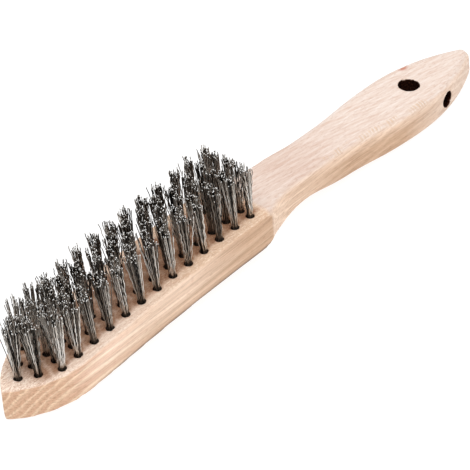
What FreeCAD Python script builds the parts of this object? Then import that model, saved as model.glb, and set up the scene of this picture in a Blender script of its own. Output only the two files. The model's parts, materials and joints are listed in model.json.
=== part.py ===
import FreeCAD, Part
import math
import os
from FreeCAD import Rotation, Vector

# Hand wire brush lying on its back: one bent beech block, which is head and handle in one, with five
# lengthwise rows of steel wire tufts. Everything is drawn in the head's frame, with X from the nose to the
# handle, Y across, Z out of the bristle face and the origin at the nose's tip. At the end the brush is turned
# about Y until its nose and its handle's end stand on Z = 0, and moved so that the origin is the middle of
# its footprint.

os.makedirs("parts", exist_ok=True)

# Block, seen from above
block_length = 287.0  # nose to handle end, along the head's axis
end_trim = 1.6  # sawn off after the edges are rounded, which leaves the end's own edges crisp
head_width = 31.8
nose_length = 34.0  # the nose is a pointed arch
taper_start = 132.0  # the head's sides begin to draw in
corner_x = 145.0  # sharp corners at the rear of the head
corner_width = 31.2
waist_start = 165.0
waist_end = 189.0
waist_width = 20.8
swell_x = 244.0  # widest place of the handle
swell_width = 27.7
blunt_width = 4.0  # of the handle's end before it is trimmed

# Block, seen from the side
block_thickness = 15.9
bend_start = 54.0  # from here the block curves away from the bristles
bend_radius = 1000.0
bend_angle = math.radians(8.9)
waist_thickness = 12.6  # the underside is hollowed along the waist
relief_start = 149.0
relief_end = 193.0
end_thickness = 11.9  # the underside rises towards the handle's end
rise_start = 216.0
rise_power = 1.35
underside_steps = 24
handle_edge_radius = 3.4  # rounding of the handle's edges on the bristle side, for the hand
underside_edge_radius = 3.0  # and on the underside
corner_edge_radius = 0.6  # both roundings where they start, at the head's rear corners

# Hanging holes
top_hole_d = 9.0  # through the thickness
top_hole_x = 251.1
side_hole_d = 7.0  # through the width, nearer the end
side_hole_x = 262.0
side_hole_depth = 7.3  # of its axis, under the handle's bristle side

# Tufts: each row's offset across the head, first hole, last hole, number of holes, and the bow of its spacing
tuft_rows = (
    (-10.4, 24.1, 137.8, 13, 0.0),
    (-5.2, 15.9, 137.9, 14, 2.8),
    (0.0, 9.7, 137.9, 15, -2.6),
    (5.2, 15.9, 137.9, 14, 2.8),
    (10.4, 24.1, 137.8, 13, 0.0),
)
tuft_columns = 15
tuft_hole_d = 3.4
tuft_hole_depth = 10.0
drill_point_angle = math.radians(118.0)
tuft_neck_d = 3.0  # the bundle inside its hole
tuft_tip_d = 5.0  # the wires spread towards their cut ends
tuft_height = 25.0  # above the block
fold_gap = 0.3  # from the hole's floor to the fold of the wires

# Flat wire anchors, one across the bottom of each tuft hole
anchor_length = 4.4  # longer than the hole is wide, so that both ends bite into the wood
anchor_height = 2.0
anchor_thickness = 0.45
anchor_lift = 0.9  # above the hole's floor, with the fold of the wires underneath

across = Vector(0.0, 1.0, 0.0)
untrimmed_length = block_length + end_trim
bend_end = bend_start + bend_radius * math.sin(bend_angle)
drop_at_bend_end = bend_radius * (1.0 - math.cos(bend_angle))


def top_line(x):
    """Height of the bristle side at x, and the angle by which it slopes down there."""
    if x >= bend_end:
        return -drop_at_bend_end - (x - bend_end) * math.tan(bend_angle), bend_angle
    angle = math.asin(max(x - bend_start, 0.0) / bend_radius)
    return -bend_radius * (1.0 - math.cos(angle)), angle


def bottom_line(x):
    """Height of the underside at x: hollowed along the waist, and rising towards the handle's end."""
    height, angle = top_line(x)
    rise_share = max(x - rise_start, 0.0) / (block_length - rise_start)
    rise = (block_thickness - end_thickness) * rise_share ** rise_power
    turn = 2.0 * math.pi * (x - relief_start) / (relief_end - relief_start)
    hollow = 0.0
    if relief_start < x < relief_end:
        hollow = (block_thickness - waist_thickness) * (1.0 - math.cos(turn)) / 2.0
    return height - (block_thickness - hollow - rise) / math.cos(angle)


def level_arc(x_level, y_level, x_other, y_other):
    """Middle point of the arc between two points that runs along X at the first of them."""
    run = abs(x_other - x_level)
    rise = abs(y_other - y_level)
    radius = (run * run + rise * rise) / (2.0 * rise)
    half = math.asin(run / radius) / 2.0
    x_way = math.copysign(1.0, x_other - x_level)
    y_way = math.copysign(1.0, y_other - y_level)
    return (x_level + x_way * radius * math.sin(half), y_level + y_way * radius * (1.0 - math.cos(half)))


def half_outline():
    """One side of the block seen from above, as a list of lines and arcs from the nose to the blunt end."""
    head = head_width / 2.0
    corner = corner_width / 2.0
    waist = waist_width / 2.0
    swell = swell_width / 2.0
    swell_mid = ((waist_end + swell_x) / 2.0, (waist + swell) / 2.0)
    end = (untrimmed_length, blunt_width / 2.0)
    return [
        [(0.0, 0.0), level_arc(nose_length, head, 0.0, 0.0), (nose_length, head)],
        [(nose_length, head), (taper_start, head)],
        [(taper_start, head), level_arc(taper_start, head, corner_x, corner), (corner_x, corner)],
        [(corner_x, corner), level_arc(waist_start, waist, corner_x, corner), (waist_start, waist)],
        [(waist_start, waist), (waist_end, waist)],
        [(waist_end, waist), level_arc(waist_end, waist, *swell_mid), swell_mid],
        [swell_mid, level_arc(swell_x, swell, *swell_mid), (swell_x, swell)],
        [(swell_x, swell), level_arc(swell_x, swell, *end), end],
    ]


def edge_of(points):
    if len(points) == 2:
        return Part.LineSegment(*points).toShape()
    return Part.Arc(*points).toShape()


def plan_prism():
    """The outline seen from above, extruded well past the block's top and bottom."""
    low = -70.0
    high = 10.0
    one_side = [[Vector(x, y, low) for x, y in piece] for piece in half_outline()]
    other_side = [[Vector(p.x, -p.y, low) for p in reversed(piece)] for piece in reversed(one_side)]
    blunt_end = [one_side[-1][-1], other_side[0][0]]
    edges = [edge_of(piece) for piece in one_side + [blunt_end] + other_side]
    return Part.Face(Part.Wire(edges)).extrude(Vector(0.0, 0.0, high - low))


def side_prism():
    """The bent side profile, extruded well past the block's width."""
    past_nose = -5.0
    past_end = untrimmed_length + 5.0
    half_depth = 25.0

    def at(x, z):
        return Vector(x, -half_depth, z)

    bend_middle = bend_start + bend_radius * math.sin(bend_angle / 2.0)
    top = [
        [at(past_nose, 0.0), at(bend_start, 0.0)],
        [at(bend_start, 0.0), at(bend_middle, top_line(bend_middle)[0]), at(bend_end, -drop_at_bend_end)],
        [at(bend_end, -drop_at_bend_end), at(past_end, top_line(past_end)[0])],
    ]
    flat_end = at(bend_start, -block_thickness)
    curve_step = (past_end - bend_start) / underside_steps
    curve_x = [bend_start + i * curve_step for i in range(underside_steps + 1)]
    curve_points = [at(x, bottom_line(x)) for x in curve_x]
    underside = Part.BSplineCurve()
    level = Vector(1.0, 0.0, 0.0)
    slope = Vector(1.0, 0.0, bottom_line(past_end) - bottom_line(past_end - 1.0))
    underside.interpolate(Points=curve_points, InitialTangent=level, FinalTangent=slope)
    bottom_left = at(past_nose, -block_thickness)
    edges = [edge_of(piece) for piece in top]
    edges.append(edge_of([top[-1][-1], curve_points[-1]]))
    edges.append(underside.toShape())
    edges.append(edge_of([flat_end, bottom_left]))
    edges.append(edge_of([bottom_left, top[0][0]]))
    profile = Part.Wire(Part.__sortEdges__(edges))
    return Part.Face(profile).extrude(Vector(0.0, 2.0 * half_depth, 0.0))


def rounded(block):
    """Rounds the handle's long edges. The radius grows along the neck and is even from the waist on."""
    tolerance = 0.01
    radii = []
    for number, edge in enumerate(block.Edges, start=1):
        ends = [edge.firstVertex(True).Point, edge.lastVertex(True).Point]
        upright = abs(ends[0].x - ends[1].x) < tolerance and abs(ends[0].y - ends[1].y) < tolerance
        if upright or min(end.x for end in ends) < corner_x - tolerance:
            continue
        below = ends[0].z < top_line(ends[0].x)[0] - waist_thickness / 2.0
        full_radius = underside_edge_radius if below else handle_edge_radius
        at_ends = []
        for end in ends:
            grown = min((end.x - corner_x) / (waist_start - corner_x), 1.0)
            at_ends.append(corner_edge_radius + (full_radius - corner_edge_radius) * grown)
        radii.append((number, at_ends[0], at_ends[1]))
    document = FreeCAD.newDocument("rounding")
    base = document.addObject("Part::Feature", "base")
    base.Shape = block
    fillet = document.addObject("Part::Fillet", "fillet")
    fillet.Base = base
    fillet.Edges = radii
    document.recompute()
    return fillet.Shape


def trimmed(block):
    """Saws the handle off at the block's length."""
    size = 100.0
    waste = Part.makeBox(size, size, size, Vector(block_length, -size / 2.0, -size / 1.25))
    return block.cut(waste)


def place_on_block(shape, x, y):
    """Moves a shape drawn about the Z axis to the bristle side at (x, y), square to the surface there."""
    height, angle = top_line(x)
    shape.Placement = FreeCAD.Placement(Vector(x, y, height), Rotation(across, math.degrees(angle)))
    return shape


def hanging_holes():
    """The two drills that go right through the handle, one each way."""
    past = 60.0
    up = Vector(0.0, 0.0, 1.0)
    through_top = Part.makeCylinder(top_hole_d / 2.0, 2.0 * past, Vector(0.0, 0.0, -past), up)
    side_axis = Vector(0.0, -past, -side_hole_depth)
    through_side = Part.makeCylinder(side_hole_d / 2.0, 2.0 * past, side_axis, across)
    return [place_on_block(through_top, top_hole_x, 0.0), place_on_block(through_side, side_hole_x, 0.0)]


def tuft_places():
    """Every tuft hole as (column, x, y). The columns are counted from the nose and the rows end level."""
    places = []
    for y, first, last, count, bow in tuft_rows:
        for i in range(count):
            share = i / (count - 1.0)
            x = first + (last - first) * share + bow * math.sin(math.pi * share)
            places.append((tuft_columns - count + i, x, y))
    return places


def tuft_drill():
    """Blind hole with a drill's point, reaching a little above the block."""
    radius = tuft_hole_d / 2.0
    above = 1.0
    point = radius / math.tan(drill_point_angle / 2.0)
    shaft = Part.makeCylinder(radius, tuft_hole_depth + above, Vector(0.0, 0.0, -tuft_hole_depth))
    tip = Part.makeCone(0.0, radius, point, Vector(0.0, 0.0, -tuft_hole_depth - point))
    return shaft.fuse(tip).removeSplitter()


def anchor():
    """Flat strip of steel standing on its edge across the bottom of a tuft hole."""
    corner = Vector(-anchor_length / 2.0, -anchor_thickness / 2.0, anchor_lift - tuft_hole_depth)
    return Part.makeBox(anchor_length, anchor_thickness, anchor_height, corner)


def tuft():
    """One folded bundle of wires: straight in its hole, spreading above it, slit where the anchor passes."""
    neck = tuft_neck_d / 2.0
    foot = fold_gap - tuft_hole_depth
    in_hole = Part.makeCylinder(neck, -foot, Vector(0.0, 0.0, foot))
    spread = Part.makeCone(neck, tuft_tip_d / 2.0, tuft_height)
    return in_hole.fuse(spread).cut(anchor())


def standing_angle():
    """Turn about Y that brings the underside of the nose and of the rounded handle end to one level."""
    end_x = block_length - handle_edge_radius
    return math.atan2(-block_thickness - bottom_line(end_x), end_x)


def write(node, pieces):
    shape = Part.makeCompound(pieces) if len(pieces) > 1 else pieces[0]
    shape.Placement = to_floor.multiply(shape.Placement)
    shape.exportStep(f"parts/{node}.step")


sharp_block = plan_prism().common(side_prism()).removeSplitter()
solid_block = trimmed(rounded(sharp_block))
turn = FreeCAD.Placement(Vector(0.0, 0.0, 0.0), Rotation(across, -math.degrees(standing_angle())))
footprint = solid_block.copy()
footprint.Placement = turn
box = footprint.optimalBoundingBox(False)
to_floor = FreeCAD.Placement(Vector(-box.Center.x, 0.0, -box.ZMin), Rotation()).multiply(turn)

places = tuft_places()
anchors = [place_on_block(anchor(), x, y) for _, x, y in places]
tufts = [place_on_block(tuft(), x, y) for _, x, y in places]
drills = [place_on_block(tuft_drill(), x, y) for _, x, y in places]
beech_block = solid_block.cut(hanging_holes() + drills + anchors)

write("beech_block", [beech_block])
for column in range(tuft_columns):
    members = [i for i, place in enumerate(places) if place[0] == column]
    write(f"tuft_column_{column + 1:02d}", [tufts[i] for i in members])
    write(f"anchor_column_{column + 1:02d}", [anchors[i] for i in members])

print("block", beech_block.isValid(), len(beech_block.Solids), round(beech_block.Volume, 1), "mm3")
print("tufts", len(tufts), "box", [round(v, 2) for v in (box.XLength, box.YLength, box.ZLength)])
print("standing angle", round(math.degrees(standing_angle()), 3))
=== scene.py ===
import json
import math
import bmesh
import bpy
import numpy as np
from mathutils import Matrix, Vector, noise


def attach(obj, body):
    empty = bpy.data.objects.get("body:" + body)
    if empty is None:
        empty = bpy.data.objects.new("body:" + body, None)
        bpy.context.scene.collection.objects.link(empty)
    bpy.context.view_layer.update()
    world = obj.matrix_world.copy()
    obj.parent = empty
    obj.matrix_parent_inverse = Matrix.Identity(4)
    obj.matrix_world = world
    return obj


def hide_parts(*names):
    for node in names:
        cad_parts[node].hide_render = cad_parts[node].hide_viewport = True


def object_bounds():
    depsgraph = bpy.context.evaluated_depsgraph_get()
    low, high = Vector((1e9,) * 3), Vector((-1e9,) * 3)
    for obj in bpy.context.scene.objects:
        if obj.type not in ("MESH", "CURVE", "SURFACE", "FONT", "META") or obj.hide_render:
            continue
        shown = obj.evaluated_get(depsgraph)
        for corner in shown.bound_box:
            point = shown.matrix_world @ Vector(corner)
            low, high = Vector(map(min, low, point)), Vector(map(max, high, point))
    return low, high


# Looks of a hand wire brush lying on its back with its wires up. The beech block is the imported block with
# an even, slightly rough surface. Each column of tufts is rebuilt as single crimped wires, folded in half
# under the flat anchor that holds them at the bottom of their hole. All lengths are in metres.

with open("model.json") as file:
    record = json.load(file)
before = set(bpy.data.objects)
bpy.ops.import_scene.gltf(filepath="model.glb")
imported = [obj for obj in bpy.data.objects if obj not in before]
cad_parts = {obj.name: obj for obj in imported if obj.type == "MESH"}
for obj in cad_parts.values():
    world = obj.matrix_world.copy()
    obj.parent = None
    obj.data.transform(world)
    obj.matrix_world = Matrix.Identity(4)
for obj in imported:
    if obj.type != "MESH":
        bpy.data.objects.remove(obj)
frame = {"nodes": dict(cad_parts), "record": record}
cad_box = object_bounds()
mm = 0.001
rng = np.random.default_rng(11)

# Block. Stations are distances from the nose.
voxel = 0.65 * mm
head_end = 0.146
soft_length = 48.0 * mm  # the nose's lower edge is worn round over this length
soft_height = 5.0 * mm
soft_passes = 16
flat_slope = 0.97  # where the surface's direction points up by more than this, it is flat
middle_strip = 4.0 * mm  # half the width of the strip that gives the height of the block's top

# Stretches of the block: the station where each is full, and the station where it has faded out
head = (head_end - 2.5 * mm, head_end)
behind_head = (head_end + 1.0 * mm, head_end - 1.0 * mm)
nose_sides = (0.035, 0.07)
front_field = (0.055, 0.1)
torn_nose = (0.012, 0.03)
tuft_shade_start = (0.018, 0.009)
pale_head_start = (0.045, 0.02)
pale_head_end = (0.095, 0.13)
contact_shadow_start = (0.055, 0.03)
darker_neck_start = (0.178, 0.156)
darker_neck_end = (0.165, 0.215)
pale_neck = (0.15, 0.2)
chatter_start = (0.185, 0.175)
chatter_end = (0.25, 0.26)
pale_tip_start = (0.262, 0.232)

# Slopes: the upward part of the surface's direction where each is full, and where it has faded out
facing_up = (0.8, 0.15)
bristle_side = (0.75, 0.35)
above_underside = (-0.85, -0.98)
edge_from_side = (0.65, 0.45)
edge_from_top = (0.97, 0.995)
above_tip_underside = (-0.2, -0.5)

# Depths below the block's top, in the same way
pale_head_depth = (7.0 * mm, 17.0 * mm)
pale_edge_depth = (2.0 * mm, 7.0 * mm)
contact_shadow_depth = (15.4 * mm, 14.3 * mm)

# Strengths of marks, and where painted shade darkens the drilled face between the tufts
least_neck = 0.4  # of the neck's darker tone is there where the neck begins
pale_tip_share = 0.35
torn_head = 0.45
torn_more_at_nose = 0.5
# the drilled face is also rough under the painted shade between the tufts, by this share
tuft_shade_roughness = 0.9
tuft_shade_reach = (3.5 * mm, 6.5 * mm)  # from the nearest hole's axis
tuft_shade_edge = (-0.5 * mm, 1.2 * mm)  # from the outermost row of holes, towards the margin
chatter_strength = 0.8
chatter_patches = (0.3, -0.1)  # values of the noise where the ripples are full, and where there are none

# Growth rings, and the sizes of the wood's grain along the block and across it
ring_gap = 2.6 * mm
ring_wander = 2.6  # gaps by which the rings wander to and fro
ring_wander_size = (0.17, 0.013, 0.013)
pith = (0.0, -0.0367, -0.0424)  # minus the place of the tree's middle, seen along the block
pith_turn = (0.0, -0.012, 0.016)  # the tree's middle runs askew, in radians
fibre_size = (0.022, 0.0007, 0.0007)
ray_size = (0.0028, 0.0003, 0.0003)
streak_size = (0.1, 0.0009, 0.0009)
streak_turn = (0.0, 0.0, -0.19)  # the grain runs askew across the bristle side, in radians
torn_size = (0.0011, 0.0006, 0.0006)

# Wear of the block, and the painted shade in its holes
hole_shade_past_wall = 0.2 * mm
hole_shade_mouth = (-0.45 * mm, 0.75 * mm)  # from a tuft hole's wall: the painted shade fades over this width
hole_shade_mouth_depth = 0.6 * mm  # deeper than this the painted shade fills the hole, to this far from its wall
deep_shade_past_wall = 0.4 * mm  # this far from its wall
jag_size = 0.9 * mm  # of the teeth in the tuft holes' torn edges
jag_reach = 0.2 * mm
rim_width = 1.1 * mm  # the broken wood on either side of a tuft hole's edge
rim_height = 2.0 * mm
rim_lift = 0.16 * mm
rim_lump_size = 1.1 * mm
fibre_lift = 0.05 * mm
fibre_lump_size = np.array((2.8, 1.1, 1.1)) * mm
smooth_share = 0.4  # of the fibres' lift is left where the wood is planed
nick_station = 0.2602
nick_radius = 2.3 * mm
nick_flat = 0.3  # of its radius
nick_slope = 0.9  # the edge is looked for where the surface points up by more than this
nick_search = 1.0 * mm
nick_depth = 0.35 * mm
nick_stretch = (1.5, 1.0, 1.0)  # it is longer along the handle
chatter_gap = 1.8 * mm
chatter_lift = 0.06 * mm
chatter_patch_size = 6.5 * mm
one_wave = 0.314  # scale at which a wave texture repeats once per unit

# Tuft holes and anchors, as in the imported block
hole_radius = 1.7 * mm
hole_depth = 12.0 * mm  # nothing further in belongs to the hole
least_inside = 0.1  # of the hole's mark counts as being in the hole
anchor_middle_depth = 8.1 * mm
anchor_gap = 0.42 * mm  # from the anchor's plane to the middle of the nearest wire
row_gap = 2.0 * mm  # anchors of two rows are further apart than this

# Wires
pins_per_tuft = 18
spots_left_free = 4  # in the middle, over the edge of the anchor
spot_scatter = 0.04  # of the tuft's radius
wire_radius = 0.17 * mm
wire_sides = 4  # so that the cut ends have four corners, as the walls' faces do
neck_radius = 1.25 * mm
tip_radius = 2.85 * mm
tip_scatter = 0.32 * mm
fan_range = (0.92, 1.1)  # single tufts spread less or more
flare = 1.12  # above 1, the wires bend outwards as they rise
front_fan = 1.3  # the tufts at the nose spread more
front_columns = 4
tuft_tilt = 0.012  # of its height is how far a tuft usually leans
wire_height = 25.5 * mm
front_extra_height = 1.0 * mm
height_spread = 2.2 * mm
height_bias = 1.5  # above 1, most wires are near the full height
height_scatter = 0.25 * mm
lean_to_nose = 2.5 * mm
front_lean = 1.3 * mm
steps_above = 20  # points along each leg of a wire
steps_in_hole = 3
lowest_step = -8.3 * mm
highest_step_in_hole = -0.8 * mm
fold_depths = (9.4 * mm, 9.9 * mm)
shoulder_pinch = (1.0, 0.7, 1.0)  # above their fold, the legs draw in towards the anchor
shoulder_drop = (0.0, 0.0, 0.7 * mm)
crimp_size = 0.2 * mm
crimp_size_range = (0.5, 1.5)
crimp_length = 5.6 * mm
crimp_length_range = (0.85, 1.2)
crimp_at_wood = 0.3  # the hole holds the wires straight, and the crimp grows
crimp_growth = 6.0  # by this much over the height, up to its full size
bunches_per_side = 7
bunch_reach = 0.75  # of the tuft's radius
bunching = 0.5  # share of the way that wires move towards the middle of their bunch
stray_share = 0.12
stray_reach = 2.2 * mm
least_stray = 0.4  # of that reach
middle_size = 0.2  # wires nearer the tuft's middle than this stray less

# Steel
drawing_line_size = (0.0004, 0.0004, 0.003)
roll_line_size = (0.003, 0.0002, 0.0002)

# Brightness of the wires
outer_shine = 0.7  # wires on the outside of a tuft are brighter, and the darker inner ones are painted shade
wire_shines = (-0.22, 0.12, 0.36)  # dull, plain and bright wires
brightest = 0.9
bunch_contrast = 0.4  # how much brighter or darker whole bunches are
front_shine = 0.1  # the tufts at the nose are brighter
front_contrast = 1.6
middle_shine = 0.42
glint_share = 0.55  # of the sheared ends get a painted glint
glint = 1.0
dull_end = 0.6
glint_length = 0.35 * mm  # the painted glint at the sheared end of each wire
shade_start = 17.0 * mm  # above this height the wires are darker, as painted shade among their tops, down to of their brightness at the top
shade_left = 0.7  # of their brightness at the top
foot_shade_end = 2.6 * mm  # below this height they are darker, as painted shade at the holes' mouths, down to of their brightness at the wood
foot_left = 0.25  # of their brightness at the wood

# Camera and light
azimuth = math.radians(-48.413)
elevation = math.radians(38.305)
roll = math.radians(-2.344)
distance = 2.2595
focal_to_width = 12.065  # a long lens
sensor_width = 36.0  # in the millimetres that Blender's lenses are given in
aim_station = 0.12698
aim_side = -0.011425
aim_height = 0.019486
floor_reach = 40.0  # so far that low views don't see its edge
floor_glow = 0.88
floor_grey = 0.22
sky_strength = 0.95
lamp_place = (-0.3, -0.3, 2.0)
lamp_size = 1.4
lamp_power = 30.0


# ---------------------------------------------------------------- helpers

def link(name, mesh):
    """Adds an object with this mesh to the scene."""
    thing = bpy.data.objects.new(name, mesh)
    bpy.context.scene.collection.objects.link(thing)
    return thing


def fade(value, full, none):
    """1 at full, 0 at none, and even in between."""
    return np.clip((value - none) / (full - none), 0.0, 1.0)


# ---------------------------------------------------------------- shader helpers

def new_material(name):
    """An empty material; returns it, its node tree and its principled shader."""
    material = bpy.data.materials.new(name)
    material.use_nodes = True
    tree = material.node_tree
    return material, tree, tree.nodes["Principled BSDF"]


def grey(value):
    """A colour with this value in all its parts."""
    return (value, value, value, 1.0)


def connect(tree, socket, value):
    """Sets an input to a number or a colour, or links another node's output to it."""
    if isinstance(value, bpy.types.NodeSocket):
        tree.links.new(value, socket)
    else:
        socket.default_value = value


def add(tree, kind, inputs=None, **settings):
    """Adds a node with these inputs and settings."""
    made = tree.nodes.new(kind)
    for key, value in settings.items():
        setattr(made, key, value)
    for key, value in (inputs or {}).items():
        connect(tree, made.inputs[key], value)
    return made


def maths(tree, operation, *values):
    """Arithmetic on numbers and other nodes' outputs."""
    return add(tree, "ShaderNodeMath", dict(enumerate(values)), operation=operation).outputs["Value"]


def vector_maths(tree, operation, *values):
    """Arithmetic on vectors; returns the node, as the answer is a vector or a number."""
    return add(tree, "ShaderNodeVectorMath", dict(enumerate(values)), operation=operation)


def object_place(tree):
    """The shaded point in the object's own coordinates."""
    return add(tree, "ShaderNodeTexCoord").outputs["Object"]


def stretched(tree, size, turn):
    """The place divided by a size along each turned axis, for grain that is longer one way."""
    inputs = {"Vector": object_place(tree), "Scale": size, "Rotation": turn}
    return add(tree, "ShaderNodeMapping", inputs, vector_type="TEXTURE").outputs["Vector"]


def grain(tree, size, detail, roughness=0.5, turn=(0.0, 0.0, 0.0)):
    """Noise from 0 to 1 with lumps of about this size along each turned axis."""
    inputs = {"Vector": stretched(tree, size, turn), "Scale": 1.0, "Detail": detail, "Roughness": roughness}
    return add(tree, "ShaderNodeTexNoise", inputs).outputs["Fac"]


def ramp(tree, source, stops):
    """Turns a value into a grey or a colour through (position, colour) stops."""
    made = add(tree, "ShaderNodeValToRGB", {"Fac": source})
    elements = made.color_ramp.elements
    while len(elements) < len(stops):
        elements.new(0.5)
    for element, (position, colour) in zip(elements, stops):
        element.position = position
        element.color = colour if isinstance(colour, tuple) else grey(colour)
    return made.outputs["Color"]


def mixed(tree, amount, first, second, way="MIX"):
    """Mixes two colours by an amount."""
    made = add(tree, "ShaderNodeMix", data_type="RGBA", blend_type=way)
    for index, value in ((0, amount), (6, first), (7, second)):
        connect(tree, made.inputs[index], value)
    return made.outputs[2]


def tinted(tree, colour, tint, amount=1.0):
    """A colour multiplied by a tint."""
    return mixed(tree, amount, colour, tint, "MULTIPLY")


def mark(tree, name):
    """A value from 0 to 1 that is stored on the mesh."""
    return add(tree, "ShaderNodeAttribute", attribute_name=name).outputs["Fac"]


# ---------------------------------------------------------------- beech

def beech_by_place(tree):
    """The wood's plain colour: the neck, the drilled face, its front, and the sides differ a little. The
    sides are darker than the top, partly as painted shade.
    """
    planed = (0.685, 0.57, 0.498, 1.0)
    neck = (0.59, 0.445, 0.372, 1.0)
    drilled = (0.65, 0.455, 0.315, 1.0)
    drilled_front = (0.75, 0.585, 0.47, 1.0)
    # darker than the top: partly the wood's own tone, partly painted shade
    side = (0.6, 0.385, 0.245, 1.0)
    # paler sides: partly the wood's own tone, partly painted light
    side_pale = (0.83, 0.61, 0.455, 1.0)
    on_handle = mixed(tree, mark(tree, "neck"), planed, neck)
    on_head = mixed(tree, mark(tree, "front"), drilled, drilled_front)
    on_top = mixed(tree, mark(tree, "head"), on_handle, on_head)
    on_side = mixed(tree, mark(tree, "paler"), side, side_pale)
    return mixed(tree, mark(tree, "facing_up"), on_side, on_top)


def ring_tone(tree):
    """Growth rings: 1 on the thin pale line of each, and down to 0.1 between two lines."""
    flat = add(tree, "ShaderNodeMapping", {
        "Vector": object_place(tree), "Location": pith, "Rotation": pith_turn, "Scale": (0.0, 1.0, 1.0)})
    radius = vector_maths(tree, "LENGTH", flat.outputs["Vector"]).outputs["Value"]
    wander = grain(tree, ring_wander_size, 2.0)
    turns = maths(tree, "MULTIPLY", radius, 1.0 / ring_gap)
    ring = maths(tree, "FRACT", maths(tree, "MULTIPLY_ADD", wander, ring_wander, turns))
    return ramp(tree, ring, ((0.0, 1.0), (0.12, 0.95), (0.26, 0.4), (0.7, 0.1), (0.9, 0.4), (1.0, 1.0)))


def ring_tint(tree):
    """Tint of the growth rings: strong on the nose, weaker on the sides, and faint on the top."""
    rings = ring_tone(tree)
    on_nose = mixed(tree, rings, (1.08, 0.97, 0.96, 1.0), (1.42, 1.6, 1.74, 1.0))
    on_side = mixed(tree, rings, (0.98, 0.96, 0.95, 1.0), (1.14, 1.19, 1.24, 1.0))
    on_top = mixed(tree, rings, (0.985, 0.965, 0.955, 1.0), (1.05, 1.08, 1.11, 1.0))
    on_side = mixed(tree, mark(tree, "nose"), on_side, on_nose)
    return mixed(tree, mark(tree, "facing_up"), on_side, on_top)


def fibre_tint(tree, fibres):
    """Tint of the fibres on the sides, and of the wider streaks on the top."""
    streaks = grain(tree, streak_size, 2.0, turn=streak_turn)
    on_side = ramp(tree, fibres, ((0.3, (0.8, 0.76, 0.72, 1.0)), (0.5, 1.0), (0.7, 1.1)))
    on_top = ramp(tree, streaks, (
        (0.34, (0.93, 0.86, 0.825, 1.0)), (0.48, (0.995, 0.985, 0.98, 1.0)),
        (0.66, (1.04, 1.055, 1.065, 1.0))))
    return mixed(tree, mark(tree, "facing_up"), on_side, on_top)


def torn_colour(tree, colour, torn):
    """Adds dark pits and pale chips where the drilled face is rough, and painted shade between the tufts.
    """
    pits = (0.53, 0.34, 0.24, 1.0)
    chips = (0.92, 0.78, 0.66, 1.0)
    painted_tuft_shade = (0.5, 0.35, 0.26, 1.0)
    for stops, tint in ((((0.38, 1.0), (0.47, 0.0)), pits), (((0.53, 0.0), (0.62, 1.0)), chips)):
        amount = maths(tree, "MULTIPLY", ramp(tree, torn, stops), mark(tree, "rough"))
        colour = mixed(tree, amount, colour, tint)
    # painted shade between the tufts
    return tinted(tree, colour, mixed(tree, mark(tree, "between"), grey(1.0), painted_tuft_shade))


def hanging_hole_wall(tree, mount):
    """1 on the wall of a hanging hole and 0 elsewhere, from the distance to the hole's axis."""
    offset = vector_maths(tree, "SUBTRACT", object_place(tree), mount["pos_m"]).outputs["Vector"]
    square = vector_maths(tree, "CROSS_PRODUCT", offset, mount["axis"]).outputs["Vector"]
    away = vector_maths(tree, "LENGTH", square).outputs["Value"]
    share = maths(tree, "DIVIDE", away, mount["dims"]["r_mm"] * mm + hole_shade_past_wall)
    return ramp(tree, share, ((0.96, 1.0), (1.0, 0.0)))


def hole_shade_mark(tree):
    """Painted shade: 1 inside the tuft holes and on the walls of the hanging holes, and 0 elsewhere."""
    hole_shade = ramp(tree, mark(tree, "bore"), ((0.42, 0.0), (0.58, 1.0)))
    for mount in frame["record"]["mounts"]:
        hole_shade = maths(tree, "MAXIMUM", hole_shade, hanging_hole_wall(tree, mount))
    return hole_shade


def beech_material():
    """Pale planed beech: growth rings, long fibres, small dark rays, and rough fibres where it was cut."""
    material, tree, shader = new_material("beech")
    painted_contact_shadow = (0.24, 0.15, 0.095, 1.0)
    nicked = (0.5, 0.2, 0.13, 1.0)
    bruised = (0.6, 0.42, 0.29, 1.0)
    hole_shade_black = (0.028, 0.009, 0.005, 1.0)
    hole_shade_brown = (0.13, 0.042, 0.022, 1.0)

    fibres = grain(tree, fibre_size, 4.0)
    rays = grain(tree, ray_size, 1.0)
    torn = grain(tree, torn_size, 4.0, roughness=0.65)
    ripple = add(tree, "ShaderNodeTexWave", {
        "Vector": stretched(tree, (chatter_gap,) * 3, (0.0, 0.0, 0.0)), "Scale": one_wave,
        "Distortion": 4.0, "Detail": 1.0}, bands_direction="X").outputs["Fac"]
    ray_tint = ramp(tree, rays, ((0.56, 1.0), (0.7, (0.74, 0.62, 0.56, 1.0))))
    hole_shade = hole_shade_mark(tree)

    colour = tinted(tree, beech_by_place(tree), ring_tint(tree))
    # painted contact shadow along the bottom of the head's sides
    colour = mixed(tree, mark(tree, "low_edge"), colour, painted_contact_shadow)
    colour = tinted(tree, colour, fibre_tint(tree, fibres))
    colour = tinted(tree, colour, ray_tint, 0.6)
    colour = torn_colour(tree, colour, torn)
    colour = mixed(tree, mark(tree, "nick"), colour, nicked)
    colour = mixed(tree, maths(tree, "MULTIPLY", ripple, mark(tree, "chatter")), colour, bruised)
    # painted shade inside the holes: near black, browner in places
    colour = mixed(tree, hole_shade, colour, ramp(tree, torn, ((0.5, hole_shade_black), (0.64, hole_shade_brown))))
    tree.links.new(colour, shader.inputs["Base Color"])
    tree.links.new(hole_shade, shader.inputs["Metallic"])  # as a dark metal, the painted shade has no white sheen
    tree.links.new(ramp(tree, fibres, ((0.3, 0.68), (0.7, 0.55))), shader.inputs["Roughness"])

    height = mixed(tree, 0.5, fibres, rays)
    height = mixed(tree, mark(tree, "rough"), height, torn)
    height = mixed(tree, mark(tree, "chatter"), height, ripple)
    bump = add(tree, "ShaderNodeBump", {"Height": height, "Strength": 0.6, "Distance": 0.0004})
    tree.links.new(bump.outputs["Normal"], shader.inputs["Normal"])
    return material


# ---------------------------------------------------------------- steel and floor

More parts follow.
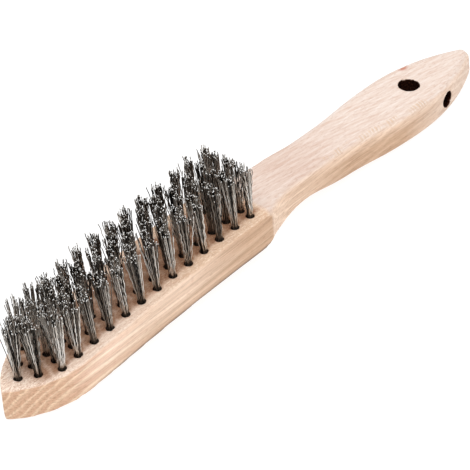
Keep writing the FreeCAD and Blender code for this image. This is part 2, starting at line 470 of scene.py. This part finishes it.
def wire_material():
    """Drawn steel wire: bright outside and dark inside the tufts as painted shade, with fine drawing lines.
    """
    material, tree, shader = new_material("steel_wire_drawn")
    tone = mark(tree, "tone")
    lines = grain(tree, drawing_line_size, 2.0)
    # dark tones are painted shade: near black, and not metal, so that no sheen lightens them
    colour = ramp(tree, tone, (
        (0.0, (0.004, 0.003, 0.002, 1.0)), (0.4, (0.18, 0.148, 0.12, 1.0)),
        (0.8, (0.78, 0.73, 0.665, 1.0)), (0.98, (0.95, 0.94, 0.92, 1.0))))
    worn = ramp(tree, lines, ((0.3, 0.8), (0.7, 1.08)))
    # tones near 1 are painted glints: near white and mostly not metal
    metal = ramp(tree, tone, ((0.1, 0.0), (0.4, 1.0), (0.94, 1.0), (0.98, 0.2)))
    tree.links.new(tinted(tree, colour, worn), shader.inputs["Base Color"])
    tree.links.new(metal, shader.inputs["Metallic"])
    tree.links.new(ramp(tree, lines, ((0.3, 0.24), (0.7, 0.4))), shader.inputs["Roughness"])
    shader.inputs["Specular IOR Level"].default_value = 0.1
    return material


def anchor_material():
    """Plain flat steel strip with roll lines."""
    material, tree, shader = new_material("steel_strip")
    lines = grain(tree, roll_line_size, 2.0)
    colour = ramp(tree, lines, ((0.3, (0.33, 0.29, 0.26, 1.0)), (0.7, (0.52, 0.5, 0.48, 1.0))))
    tree.links.new(colour, shader.inputs["Base Color"])
    tree.links.new(ramp(tree, lines, ((0.3, 0.5), (0.7, 0.35))), shader.inputs["Roughness"])
    shader.inputs["Metallic"].default_value = 1.0
    return material


def floor_material():
    """White ground. Most of its white is its own glow, so that the brush's shadow on it is faint."""
    material, _, shader = new_material("white_floor")
    shader.inputs["Base Color"].default_value = grey(floor_grey)
    shader.inputs["Roughness"].default_value = 0.9
    shader.inputs["Specular IOR Level"].default_value = 0.0
    shader.inputs["Emission Color"].default_value = grey(1.0)
    shader.inputs["Emission Strength"].default_value = floor_glow
    return material


# ---------------------------------------------------------------- tuft places

def tuft_frames(column):
    """For each tuft of a column: where its hole opens, and the block's directions along, across and out.

    They come from the anchors, which are flat strips standing across the bottom of each hole.
    """
    mesh = frame["nodes"][f"anchor_column_{column:02d}"].data
    corners = np.array([v.co for v in mesh.vertices])
    corners = corners[np.argsort(corners[:, 1])]
    splits = np.flatnonzero(np.diff(corners[:, 1]) > row_gap) + 1
    frames = []
    for strip in np.split(corners, splits):
        middle = (strip.min(axis=0) + strip.max(axis=0)) / 2.0
        along = np.linalg.svd(strip - middle)[2][0]
        along = along * np.sign(along[0])
        across = np.array((0.0, 1.0, 0.0))
        out = np.cross(along, across)
        frames.append((middle + out * anchor_middle_depth, along, across, out))
    return frames


# ---------------------------------------------------------------- wires

def leg_spots(count):
    """Even spots in the half of a unit disc that lies on one side of the anchor."""
    golden_angle = math.pi * (3.0 - math.sqrt(5.0))
    k = np.arange(2 * count + spots_left_free)
    radius = np.sqrt((k + 0.5) / len(k))
    turn = k * golden_angle
    spots = np.stack((radius * np.cos(turn), radius * np.sin(turn)), axis=1)
    spots = spots[np.argsort(-spots[:, 1])][:count]
    return spots + rng.normal(0.0, spot_scatter, spots.shape)


def leg_ends(spots, side, fan, extra_height, lean):
    """Each wire's place in its hole and at its end, its height, and its bunch's brightness."""
    count = len(spots)
    unit = spots * (1.0, side)
    foot = unit * neck_radius
    foot[:, 1] = side * np.maximum(np.abs(foot[:, 1]), anchor_gap)
    bunches = rng.uniform(-bunch_reach, bunch_reach, (bunches_per_side, 2))
    member = np.argmin(((unit[:, None] - bunches[None]) ** 2).sum(axis=2), axis=1)
    bunch_shine = rng.uniform(-bunch_contrast, bunch_contrast, len(bunches))[member]
    tip = (unit + bunching * (bunches[member] - unit)) * tip_radius * fan
    tip = tip + rng.normal(0.0, tip_scatter, unit.shape)
    outward = unit / np.maximum(np.linalg.norm(unit, axis=1, keepdims=True), middle_size)
    stray = (rng.random(count) < stray_share) * rng.uniform(least_stray, 1.0, count) * stray_reach
    tip = tip + outward * stray[:, None]
    tip[:, 0] -= lean
    height = wire_height + extra_height - rng.random(count) ** height_bias * height_spread
    height += rng.normal(0.0, height_scatter, count)
    return foot, tip, height, bunch_shine


def legs(spots, side, fan, extra_height, lean):
    """The wires of one side of a tuft, in the tuft's frame, from low in the hole to their cut ends.

    Returns their paths and how much brighter or darker each is for the bunch it belongs to.
    """
    foot, tip, height, bunch_shine = leg_ends(spots, side, fan, extra_height, lean)
    count = len(spots)
    depth = np.linspace(lowest_step, highest_step_in_hole, steps_in_hole)
    share = np.append(np.linspace(0.0, 1.0 - glint_length / wire_height, steps_above), 1.0)
    z = np.concatenate((np.tile(depth, (count, 1)), height[:, None] * share), axis=1)
    spread = np.concatenate((np.zeros(steps_in_hole), share ** flare))
    level = foot[:, None] + (tip - foot)[:, None] * spread[None, :, None]
    phase = rng.uniform(0.0, 2.0 * math.pi, (count, 1))
    pitch = crimp_length * rng.uniform(*crimp_length_range, (count, 1))
    plane = rng.uniform(0.0, 2.0 * math.pi, count)
    loose = np.concatenate((np.zeros(steps_in_hole), np.minimum(share * crimp_growth + crimp_at_wood, 1.0)))
    size = crimp_size * rng.uniform(*crimp_size_range, (count, 1))
    wave = size * loose * np.sin(2.0 * math.pi * z / pitch + phase)
    level[:, :, 0] += wave * np.cos(plane)[:, None]
    level[:, :, 1] += wave * np.sin(plane)[:, None]
    return np.concatenate((level, z[:, :, None]), axis=2), bunch_shine


def hairpins(fan, extra_height, lean):
    """Paths of a tuft's wires, each down one leg, under the anchor and up the other leg.

    Returns the paths and how bright each wire's two legs are.
    """
    spots = leg_spots(pins_per_tuft)
    near, near_shine = legs(spots, 1.0, fan, extra_height, lean)
    far, far_shine = legs(spots, -1.0, fan, extra_height, lean)
    fold = (near[:, 0] + far[:, 0]) / 2.0
    fold[:, 1] = 0.0
    fold[:, 2] = -rng.uniform(*fold_depths, len(fold))
    near_shoulder, far_shoulder = (leg[:, 0] * shoulder_pinch - shoulder_drop for leg in (near, far))
    middle = np.stack((near_shoulder, fold, far_shoulder), axis=1)
    # painted shade: wires nearer the tuft's middle are darker
    shine = np.linalg.norm(spots, axis=1) ** 2 * outer_shine + rng.choice(wire_shines, len(spots))
    leg_shine = np.stack((shine + near_shine, shine + far_shine), axis=1)
    return np.concatenate((near[:, ::-1], middle, far), axis=1), leg_shine


def tubes(paths, thickness, sides):
    """Vertices and four-cornered faces of tubes along paths that all have the same number of points."""
    count, points = paths.shape[:2]
    ahead = np.gradient(paths, axis=1)
    ahead /= np.linalg.norm(ahead, axis=2, keepdims=True)
    first = np.cross(ahead, (1.0, 0.0, 0.0))
    first /= np.linalg.norm(first, axis=2, keepdims=True)
    second = np.cross(ahead, first)
    angle = 2.0 * math.pi * (np.arange(sides) + 0.5) / sides
    ring = np.cos(angle)[:, None] * first[:, :, None] + np.sin(angle)[:, None] * second[:, :, None]
    verts = paths[:, :, None] + ring * thickness
    index = np.arange(count * points * sides).reshape(count, points, sides)
    after = np.roll(index, -1, axis=2)
    walls = np.stack((index[:, :-1], after[:, :-1], after[:, 1:], index[:, 1:]), axis=3).reshape(-1, 4)
    caps = np.concatenate((index[:, 0, ::-1], index[:, -1]))
    return verts.reshape(-1, 3), walls, caps


def mesh_of_quads(name, verts, walls, caps):
    """Mesh with smooth tube walls and flat cut ends."""
    faces = np.concatenate((walls, caps))
    mesh = bpy.data.meshes.new(name)
    mesh.vertices.add(len(verts))
    mesh.vertices.foreach_set("co", verts.ravel())
    mesh.loops.add(faces.size)
    mesh.loops.foreach_set("vertex_index", faces.ravel())
    mesh.polygons.add(len(faces))
    mesh.polygons.foreach_set("loop_start", np.arange(0, faces.size, 4))
    mesh.polygons.foreach_set("use_smooth", np.arange(len(faces)) < len(walls))
    mesh.update(calc_edges=True)
    mesh.validate()
    return mesh


def tones_along(height, leg_shine):
    """Brightness of each stretch between two steps of the wires, and of their two cut ends."""
    half = height.shape[1] // 2
    shine = np.repeat(np.clip(leg_shine, 0.0, brightest), (half, height.shape[1] - half), axis=1)
    # painted shade near the wires' tops and at their feet
    top_shade = 1.0 - (1.0 - shade_left) * fade(height, wire_height, shade_start)
    foot_shade = 1.0 - (1.0 - foot_left) * fade(height, 0.0, foot_shade_end)
    tones = shine * top_shade * foot_shade
    # painted glints on some of the cut ends
    ends = np.where(rng.random((len(height), 2)) < glint_share, glint, dull_end)
    tones[:, [0, -1]] = ends
    return tones, ends


def wire_tuft(place, at_front):
    """One tuft of wires: its vertices, tube walls and cut ends, and the brightness of the faces of both."""
    origin, along, across, out = place
    fan, extra_height, lean = 1.0, 0.0, lean_to_nose
    if at_front:
        fan, extra_height, lean = front_fan, front_extra_height, front_lean
    tilt = rng.normal(0.0, tuft_tilt, 2)
    paths, leg_shine = hairpins(fan * rng.uniform(*fan_range), extra_height, lean)
    if at_front:
        leg_shine = (leg_shine - middle_shine) * front_contrast + middle_shine + front_shine
    above = np.maximum(paths[:, :, 2], 0.0)
    paths[:, :, 0] += above * tilt[0]
    paths[:, :, 1] += above * tilt[1]
    verts, walls, caps = tubes(paths, wire_radius, wire_sides)
    verts = origin + verts[:, :1] * along + verts[:, 1:2] * across + verts[:, 2:] * out
    tones, ends = tones_along((above[:, 1:] + above[:, :-1]) / 2.0, leg_shine)
    return verts, walls, caps, np.repeat(tones.ravel(), wire_sides), ends.T.ravel()


def wire_column(column, material):
    """All the wires of one column of tufts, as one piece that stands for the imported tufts."""
    tufts = []
    start = 0
    for place in tuft_frames(column):
        verts, walls, caps, wall_tones, cap_tones = wire_tuft(place, column <= front_columns)
        tufts.append((verts, walls + start, caps + start, wall_tones, cap_tones))
        start += len(verts)
    verts, walls, caps, wall_tones, cap_tones = (np.concatenate(group) for group in zip(*tufts))
    name = f"steel_wires_{column:02d}"
    piece = link(name, mesh_of_quads(name, verts, walls, caps))
    tone = piece.data.attributes.new("tone", "FLOAT", "FACE")
    tone.data.foreach_set("value", np.concatenate((wall_tones, cap_tones)))
    piece.data.materials.append(material)
    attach(piece, "root")
    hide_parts(f"tuft_column_{column:02d}")


# ---------------------------------------------------------------- wood

def connected(work):
    """The mesh's vertices as a list of sets, one for each loose bit, smallest first."""
    left = set(work.verts)
    islands = []
    while left:
        island = {left.pop()}
        edge = list(island)
        while edge:
            vert = edge.pop()
            for link_edge in vert.link_edges:
                other = link_edge.other_vert(vert)
                if other in left:
                    left.discard(other)
                    island.add(other)
                    edge.append(other)
        islands.append(island)
    return sorted(islands, key=len)


def wear_nose(work):
    """Rounds the nose's lower edge by smoothing it again and again, each time over less of its length."""
    low = [v for v in work.verts if v.co.x < cad_box[0].x + soft_length and v.co.z < soft_height]
    for turn in range(soft_passes):
        reach = soft_length * (1.0 - turn / soft_passes)
        soft = [v for v in low if v.co.x < cad_box[0].x + reach]
        bmesh.ops.smooth_vert(
            work, verts=soft, factor=0.5, use_axis_x=True, use_axis_y=True, use_axis_z=True)


def even_mesh(node):
    """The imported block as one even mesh, without loose bits and with a worn nose."""
    copy = link("block_copy", node.data.copy())
    remesh = copy.modifiers.new("remesh", "REMESH")
    remesh.mode = "VOXEL"
    remesh.voxel_size = voxel
    mesh = bpy.data.meshes.new_from_object(copy.evaluated_get(bpy.context.evaluated_depsgraph_get()))
    bpy.data.objects.remove(copy)
    work = bmesh.new()
    work.from_mesh(mesh)
    loose = [v for island in connected(work)[:-1] for v in island]
    bmesh.ops.delete(work, geom=loose, context="VERTS")
    wear_nose(work)
    work.to_mesh(mesh)
    work.free()
    return mesh


def vectors(mesh, field):
    """A coordinate field of the mesh's vertices as rows of three."""
    values = np.empty(len(mesh.vertices) * 3, np.float32)
    mesh.vertices.foreach_get(field, values)
    return values.reshape(-1, 3).astype(float)


def noise_at(co, size):
    """Smooth noise from -1 to 1 at each point, with lumps of this size along each axis."""
    return np.array([noise.noise(Vector(p)) for p in co / size])


def from_axis(co, origin, axis):
    """Distance of each point from an axis, and its height along it."""
    offset = co - origin
    height = offset @ axis
    return np.linalg.norm(offset - height[:, None] * axis, axis=1), height


def in_hole(away, height):
    """1 inside a tuft hole and 0 outside. At its mouth the step is soft, and the material sharpens it."""
    at_mouth = fade(away - hole_radius, *hole_shade_mouth)
    deeper = (away < hole_radius + deep_shade_past_wall) * 1.0
    return np.where(height < -hole_shade_mouth_depth, deeper, at_mouth) * (height > -hole_depth)


def around_tuft_holes(co, holes):
    """Marks of the tuft holes and of their rims, and each point's distance from the nearest hole's axis."""
    jags = noise_at(co, jag_size) * jag_reach
    inside = np.zeros(len(co))
    rim = np.zeros(len(co))
    nearest = np.full(len(co), np.inf)
    for origin, _, _, out in holes:
        away, height = from_axis(co, origin, out)
        away = away + jags
        inside = np.maximum(inside, in_hole(away, height))
        at_rim = fade(np.abs(away - hole_radius), 0.0, rim_width) * (np.abs(height) < rim_height)
        rim = np.maximum(rim, at_rim)
        nearest = np.minimum(nearest, away)
    return inside, rim, nearest


def near_hanging_holes(co):
    """True at the walls and mouths of the hanging holes."""
    near = np.zeros(len(co), bool)
    for mount in frame["record"]["mounts"]:
        away, _ = from_axis(co, np.array(mount["pos_m"]), np.array(mount["axis"]))
        near |= away < mount["dims"]["r_mm"] * mm + voxel
    return near


def depth_below_top(co, upward, in_any_hole):
    """How far each point lies below the block's top, measured along Z at the same station."""
    middle = (upward > flat_slope) & (np.abs(co[:, 1]) < middle_strip) & ~in_any_hole
    order = np.argsort(co[middle, 0])
    return np.interp(co[:, 0], co[middle, 0][order], co[middle, 2][order]) - co[:, 2]


def nick_mark(co, station, upward, in_any_hole):
    """The small bruise on the handle's far top edge."""
    here = np.abs(station - nick_station) < nick_search
    far_edge = co[here & (upward > nick_slope) & ~in_any_hole]
    place = far_edge[np.argmax(far_edge[:, 1])]
    place[0] = cad_box[0].x + nick_station
    return fade(np.linalg.norm((co - place) / nick_stretch, axis=1), nick_flat * nick_radius, nick_radius)


def paler_mark(station, below_top):
    """Where the sides are paler, partly the wood's own tone and partly painted light: on the head's upper
    half, along the neck and near the handle's top edge.
    """
    on_head = fade(station, *pale_head_start) * fade(station, *pale_head_end)
    on_head *= fade(below_top, *pale_head_depth)
    on_handle = np.maximum(fade(station, *pale_neck), fade(below_top, *pale_edge_depth))
    behind = fade(station, *behind_head)
    return on_head * (1.0 - behind) + on_handle * behind


def chatter_mark(co, normal, station):
    """The planer's marks on the handle's near top edge, in patches."""
    edge = fade(normal[:, 2], *edge_from_side) * fade(normal[:, 2], *edge_from_top) * (normal[:, 1] < 0.0)
    stretch = fade(station, *chatter_start) * fade(station, *chatter_end)
    return edge * stretch * fade(noise_at(co, chatter_patch_size), *chatter_patches) * chatter_strength


def surface_marks(co, normal, station, holes):
    """Marks from 0 to 1 on each vertex, which the beech material reads, and how broken the rims are."""
    upward = normal[:, 2]
    inside, rim, nearest = around_tuft_holes(co, holes)
    in_any_hole = (inside > least_inside) | near_hanging_holes(co)
    below_top = depth_below_top(co, upward, in_any_hole)
    on_head = fade(station, *head)
    on_top = fade(upward, *bristle_side)
    outermost = max(abs(origin[1]) for origin, *_ in holes)
    # painted shade on the drilled face among the tufts, fading out towards the margins and the nose
    field = fade(np.abs(co[:, 1]) - outermost, *tuft_shade_edge)
    between = on_top * field * fade(nearest, *tuft_shade_reach) * fade(station, *tuft_shade_start)
    torn = on_top * on_head * (torn_head + torn_more_at_nose * fade(station, *torn_nose))
    # painted contact shadow: a dark band along the bottom of the head's sides, not on its underside
    contact_shadow = fade(below_top, *contact_shadow_depth) * fade(upward, *above_underside) * fade(station, *contact_shadow_start)
    # the handle's tip takes on some of the top's colour and the paler sides': partly painted light
    pale_tip = fade(station, *pale_tip_start) * fade(upward, *above_tip_underside)
    neck_start = least_neck + (1.0 - least_neck) * fade(station, *darker_neck_start)
    return {
        "facing_up": np.maximum(fade(upward, *facing_up), pale_tip_share * pale_tip),
        "head": on_head,
        "nose": fade(station, *nose_sides),
        "neck": fade(station, *darker_neck_end) * neck_start,
        "front": fade(station, *front_field),
        "bore": inside,
        "paler": np.maximum(paler_mark(station, below_top), pale_tip),
        "low_edge": contact_shadow * on_head,
        "between": between,
        "rough": np.maximum(torn, tuft_shade_roughness * between),
        "chatter": chatter_mark(co, normal, station),
        "nick": nick_mark(co, station, upward, in_any_hole),
    }, rim * on_top


def lift_of(co, station, marks, rim):
    """How far each vertex moves out: rough fibres, broken rims, the planer's ripples and the nick."""
    roughness = smooth_share + (1.0 - smooth_share) * marks["rough"]
    fibres = noise_at(co, fibre_lump_size) * fibre_lift * roughness
    broken = noise_at(co, rim_lump_size) * rim_lift * rim
    ripples = np.sin(2.0 * math.pi * station / chatter_gap) * chatter_lift * marks["chatter"]
    return fibres + broken + ripples - nick_depth * marks["nick"]


def roughen(mesh, holes):
    """Moves the surface by a fraction of a millimetre and stores its marks on the mesh."""
    co = vectors(mesh, "co")
    normal = vectors(mesh, "normal")
    station = co[:, 0] - cad_box[0].x
    marks, rim = surface_marks(co, normal, station, holes)
    co += normal * lift_of(co, station, marks, rim)[:, None]
    mesh.vertices.foreach_set("co", co.ravel())
    for name, values in marks.items():
        attribute = mesh.attributes.new(name, "FLOAT", "POINT")
        attribute.data.foreach_set("value", values)
    mesh.polygons.foreach_set("use_smooth", np.ones(len(mesh.polygons), bool))
    mesh.update()


def beech_block(holes):
    """The beech block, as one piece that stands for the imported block."""
    mesh = even_mesh(frame["nodes"]["beech_block"])
    roughen(mesh, holes)
    piece = link("beech_handle_block", mesh)
    piece.data.materials.clear()
    piece.data.materials.append(beech_material())
    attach(piece, "root")
    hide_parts("beech_block")


# ---------------------------------------------------------------- stage

def floor():
    """A white square on the ground."""
    mesh = bpy.data.meshes.new("floor")
    corners = [(x * floor_reach, y * floor_reach, 0.0) for x, y in ((-1, -1), (1, -1), (1, 1), (-1, 1))]
    mesh.from_pydata(corners, [], [(0, 1, 2, 3)])
    mesh.materials.append(floor_material())
    link("floor", mesh)


def light():
    """One large soft lamp overhead, and a white sky that is greyer towards the horizon."""
    world = bpy.data.worlds.new("studio")
    world.use_nodes = True
    tree = world.node_tree
    background = tree.nodes["Background"]
    way = add(tree, "ShaderNodeTexCoord").outputs["Generated"]
    upwards = add(tree, "ShaderNodeSeparateXYZ", {"Vector": way}).outputs["Z"]
    white_band_end = 0.02  # the white band at the horizon hides the floor's edge in low views
    sky = ramp(tree, upwards, (
        (0.0, 1.0), (white_band_end, 1.0), (2.0 * white_band_end, 0.35), (0.25, 0.5), (0.6, 0.85),
        (1.0, 1.0)))
    tree.links.new(sky, background.inputs["Color"])
    background.inputs["Strength"].default_value = sky_strength
    bpy.context.scene.world = world
    data = bpy.data.lights.new("overhead", "AREA")
    data.shape = "SQUARE"
    data.size = lamp_size
    data.energy = lamp_power
    lamp = link("overhead", data)
    lamp.location = lamp_place
    lamp.rotation_euler = (-Vector(lamp_place)).to_track_quat("-Z", "Y").to_euler()
    bpy.context.scene.view_settings.view_transform = "Standard"


def camera():
    """The camera that took the photo, as solved from the tufts' even pattern."""
    data = bpy.data.cameras.new("camera")
    data.sensor_width = sensor_width
    data.lens = focal_to_width * data.sensor_width
    data.clip_start = 0.1
    data.clip_end = 2.0 * floor_reach
    eye = link("camera", data)
    level = math.cos(elevation)
    back = Vector((math.sin(azimuth) * level, -math.cos(azimuth) * level, math.sin(elevation)))
    right = Vector((math.cos(azimuth), math.sin(azimuth), 0.0))
    up = back.cross(right)
    turned_right = right * math.cos(roll) + up * math.sin(roll)
    turned_up = up * math.cos(roll) - right * math.sin(roll)
    aim = Vector((cad_box[0].x + aim_station, aim_side, aim_height))
    place = Matrix((turned_right, turned_up, back)).transposed().to_4x4()
    place.translation = aim + back * distance
    eye.matrix_world = place
    bpy.context.scene.camera = eye


# ---------------------------------------------------------------- build

wires = wire_material()
strip = anchor_material()
columns = sum(name.startswith("tuft_column_") for name in frame["nodes"])
all_holes = []
for number in range(1, columns + 1):
    all_holes += tuft_frames(number)
    wire_column(number, wires)
    strips = frame["nodes"][f"anchor_column_{number:02d}"]
    strips.data.materials.clear()
    strips.data.materials.append(strip)
beech_block(all_holes)
floor()
light()
camera()
